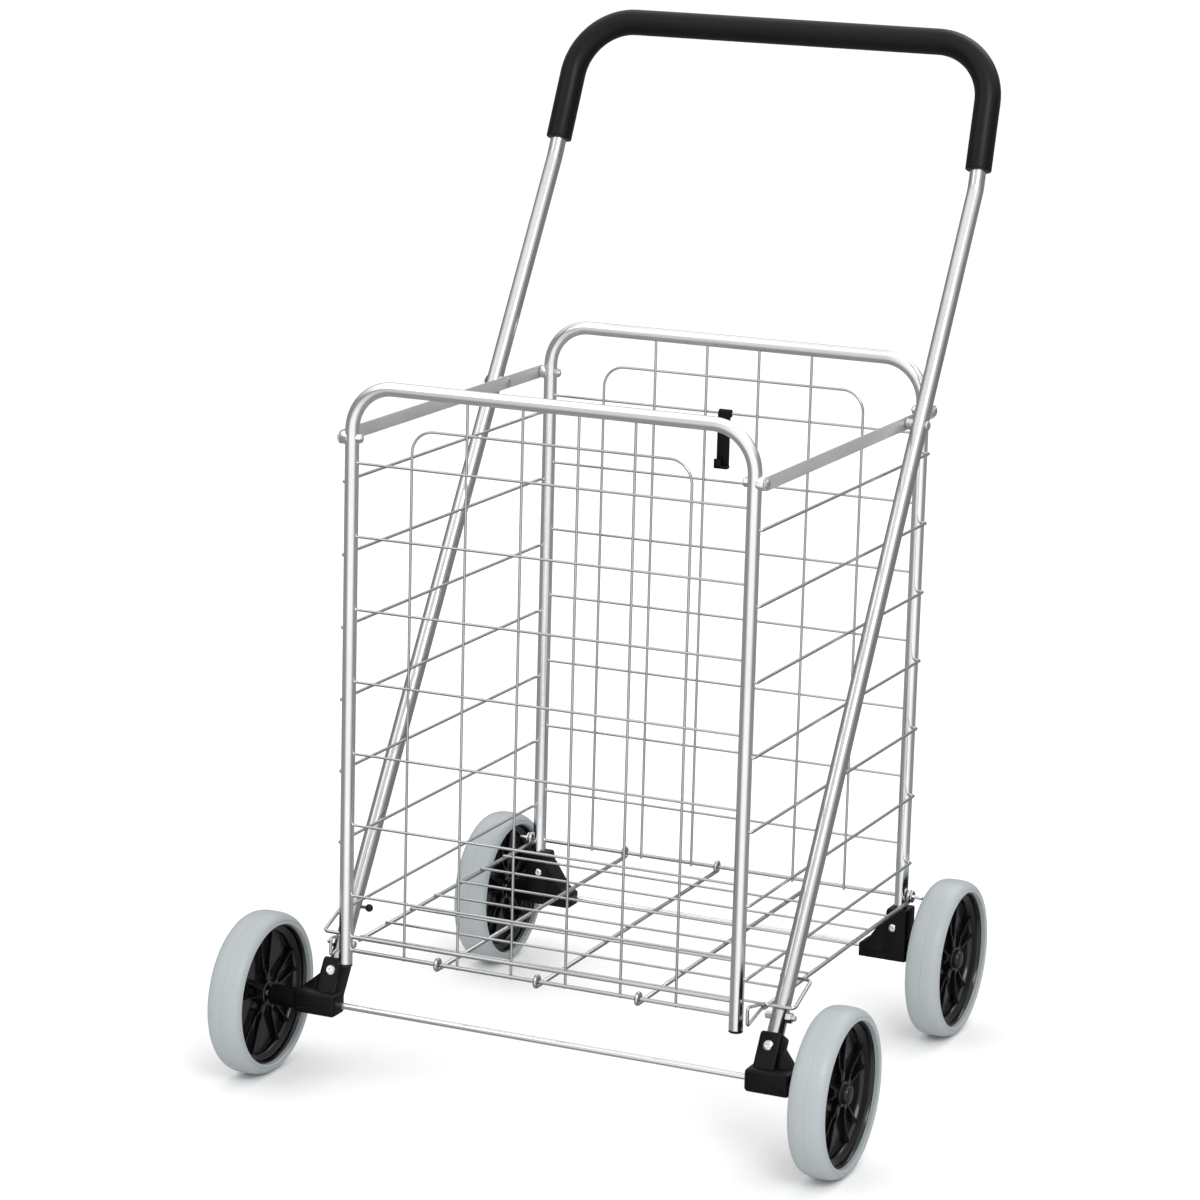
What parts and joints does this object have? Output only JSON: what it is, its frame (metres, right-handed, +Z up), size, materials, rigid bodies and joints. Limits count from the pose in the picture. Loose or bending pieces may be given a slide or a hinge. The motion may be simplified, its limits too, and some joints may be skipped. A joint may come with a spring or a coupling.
{
  "type": "folding shopping trolley",
  "caption": "Folding wire shopping trolley with a tall basket, a leaning tube handle with a ribbed grip and large front and rear wheels; basket, floor and handle fold flat together.",
  "frame": {"origin": "on the floor, under the middle of the whole trolley's bounding box", "axes": "+Z up, +Y from the front panel towards the user at the handle, +X across the trolley to its right as the user's opposite number sees it from the front"},
  "size_m": [0.6362, 0.6255, 1.0056],
  "materials": {
    "axle_steel": "plain drawn steel rod",
    "bracket_plastic": "black moulded nylon, fine satin",
    "cap_plastic": "black moulded plastic",
    "clip_plastic": "black moulded plastic",
    "fastener_steel": "satin steel",
    "grip_rubber": "black ribbed sleeve",
    "handle_steel": "bright zinc-plated steel tube",
    "panel_tube": "bright zinc-plated steel tube",
    "panel_wire": "bright zinc-plated welded steel wire",
    "rim_plastic": "black moulded plastic, glossy",
    "strap_steel": "bright zinc-plated flat steel",
    "tip_rubber": "black dipped rubber",
    "tyre_rubber": "pale blue-grey solid tyre, smooth"
  },
  "bodies": {
    "rear_frame": {"rear_panel_tube": "panel_tube", "rear_panel_wires": "panel_wire", "rear_strap_spacers": "fastener_steel", "rear_strap_bolts": "fastener_steel", "floor_hinge_pins": "fastener_steel", "rear_bracket_left": "bracket_plastic", "rear_bracket_right": "bracket_plastic", "rear_bracket_rivets": "fastener_steel", "rear_axle": "axle_steel"},
    "straps": {"strap_left": "strap_steel", "strap_right": "strap_steel"},
    "side_link_1": {"side_wire_left_1": "panel_wire", "side_wire_right_1": "panel_wire"},
    "side_link_2": {"side_wire_left_2": "panel_wire", "side_wire_right_2": "panel_wire"},
    "side_link_3": {"side_wire_left_3": "panel_wire", "side_wire_right_3": "panel_wire"},
    "side_link_4": {"side_wire_left_4": "panel_wire", "side_wire_right_4": "panel_wire"},
    "side_link_5": {"side_wire_left_5": "panel_wire", "side_wire_right_5": "panel_wire"},
    "side_link_6": {"side_wire_left_6": "panel_wire", "side_wire_right_6": "panel_wire"},
    "side_link_7": {"side_wire_left_7": "panel_wire", "side_wire_right_7": "panel_wire"},
    "front_frame": {"front_panel_tube": "panel_tube", "front_panel_wires": "panel_wire", "front_strap_spacers": "fastener_steel", "front_strap_bolts": "fastener_steel", "front_leg_caps": "bracket_plastic"},
    "floor": {"floor_panel": "panel_wire"},
    "handle": {"handle_tube": "handle_steel", "handle_grip": "grip_rubber", "handle_rivets": "fastener_steel", "handle_spacers": "fastener_steel", "stop_bolts": "fastener_steel", "front_bracket_left": "bracket_plastic", "front_bracket_right": "bracket_plastic", "front_bracket_rivets": "fastener_steel", "front_axle": "axle_steel"},
    "guide": {"guide_hook_left": "panel_wire", "guide_hook_right": "panel_wire", "guide_tips": "tip_rubber"},
    "front_left_wheel": {"front_left_tyre": "tyre_rubber", "front_left_rim": "rim_plastic", "front_left_hub_cap": "cap_plastic"},
    "front_right_wheel": {"front_right_tyre": "tyre_rubber", "front_right_rim": "rim_plastic", "front_right_hub_cap": "cap_plastic"},
    "rear_left_wheel": {"rear_left_tyre": "tyre_rubber", "rear_left_rim": "rim_plastic", "rear_left_hub_cap": "cap_plastic"},
    "rear_right_wheel": {"rear_right_tyre": "tyre_rubber", "rear_right_rim": "rim_plastic", "rear_right_hub_cap": "cap_plastic"},
    "latch": {"latch_clip": "clip_plastic"}
  },
  "joints": [
    {"name": "fold", "type": "hinge", "parent": "rear_frame", "child": "straps", "pos_m": [0, 0.19235, 0.64], "axis": [1, 0, 0], "range_deg": [-78, 0]},
    {"name": "side_link_1_swing", "type": "hinge", "parent": "rear_frame", "child": "side_link_1", "pos_m": [0, 0.19235, 0.5974], "axis": [1, 0, 0], "range_deg": [-78, 0]},
    {"name": "side_link_2_swing", "type": "hinge", "parent": "rear_frame", "child": "side_link_2", "pos_m": [0, 0.19235, 0.5272], "axis": [1, 0, 0], "range_deg": [-78, 0]},
    {"name": "side_link_3_swing", "type": "hinge", "parent": "rear_frame", "child": "side_link_3", "pos_m": [0, 0.19235, 0.457], "axis": [1, 0, 0], "range_deg": [-78, 0]},
    {"name": "side_link_4_swing", "type": "hinge", "parent": "rear_frame", "child": "side_link_4", "pos_m": [0, 0.19235, 0.3868], "axis": [1, 0, 0], "range_deg": [-78, 0]},
    {"name": "side_link_5_swing", "type": "hinge", "parent": "rear_frame", "child": "side_link_5", "pos_m": [0, 0.19235, 0.3166], "axis": [1, 0, 0], "range_deg": [-78, 0]},
    {"name": "side_link_6_swing", "type": "hinge", "parent": "rear_frame", "child": "side_link_6", "pos_m": [0, 0.19235, 0.2464], "axis": [1, 0, 0], "range_deg": [-78, 0]},
    {"name": "side_link_7_swing", "type": "hinge", "parent": "rear_frame", "child": "side_link_7", "pos_m": [0, 0.19235, 0.1762], "axis": [1, 0, 0], "range_deg": [-78, 0]},
    {"name": "front_frame_swing", "type": "hinge", "parent": "straps", "child": "front_frame", "pos_m": [0, -0.24105, 0.64], "axis": [1, 0, 0], "range_deg": [0, 78]},
    {"name": "floor_swing", "type": "hinge", "parent": "rear_frame", "child": "floor", "pos_m": [0, 0.19235, 0.14075], "axis": [1, 0, 0], "range_deg": [-78, 0]},
    {"name": "handle_swing", "type": "hinge", "parent": "straps", "child": "handle", "pos_m": [0, 0.11395, 0.64], "axis": [1, 0, 0], "range_deg": [0, 102.18]},
    {"name": "guide_slide", "type": "slide", "parent": "handle", "child": "guide", "axis": [0, 0.5225, 0.8526], "range_m": [0, 0.4246]},
    {"name": "front_left_wheel_spin", "type": "hinge", "parent": "handle", "child": "front_left_wheel", "pos_m": [-0.3001, -0.23275, 0.08], "axis": [1, 0, 0], "continuous": true},
    {"name": "rear_left_wheel_spin", "type": "hinge", "parent": "rear_frame", "child": "rear_left_wheel", "pos_m": [-0.252, 0.20025, 0.08], "axis": [1, 0, 0], "continuous": true},
    {"name": "front_right_wheel_spin", "type": "hinge", "parent": "handle", "child": "front_right_wheel", "pos_m": [0.3001, -0.23275, 0.08], "axis": [1, 0, 0], "continuous": true},
    {"name": "rear_right_wheel_spin", "type": "hinge", "parent": "rear_frame", "child": "rear_right_wheel", "pos_m": [0.252, 0.20025, 0.08], "axis": [1, 0, 0], "continuous": true},
    {"name": "latch_swing", "type": "hinge", "parent": "rear_frame", "child": "latch", "pos_m": [-0.007, 0.19235, 0.6165], "axis": [1, 0, 0], "range_deg": [-75, 75]}
  ],
  "couplings": [
    {"joint": "side_link_1_swing", "follows": "fold", "ratio": 1},
    {"joint": "side_link_2_swing", "follows": "fold", "ratio": 1},
    {"joint": "side_link_3_swing", "follows": "fold", "ratio": 1},
    {"joint": "side_link_4_swing", "follows": "fold", "ratio": 1},
    {"joint": "side_link_5_swing", "follows": "fold", "ratio": 1},
    {"joint": "side_link_6_swing", "follows": "fold", "ratio": 1},
    {"joint": "side_link_7_swing", "follows": "fold", "ratio": 1},
    {"joint": "front_frame_swing", "follows": "fold", "ratio": -1},
    {"joint": "floor_swing", "follows": "fold", "ratio": 1},
    {"joint": "handle_swing", "follows": "fold", "ratio": -1.31},
    {"joint": "guide_slide", "follows": "fold", "m_per_rad": -0.3115}
  ]
}
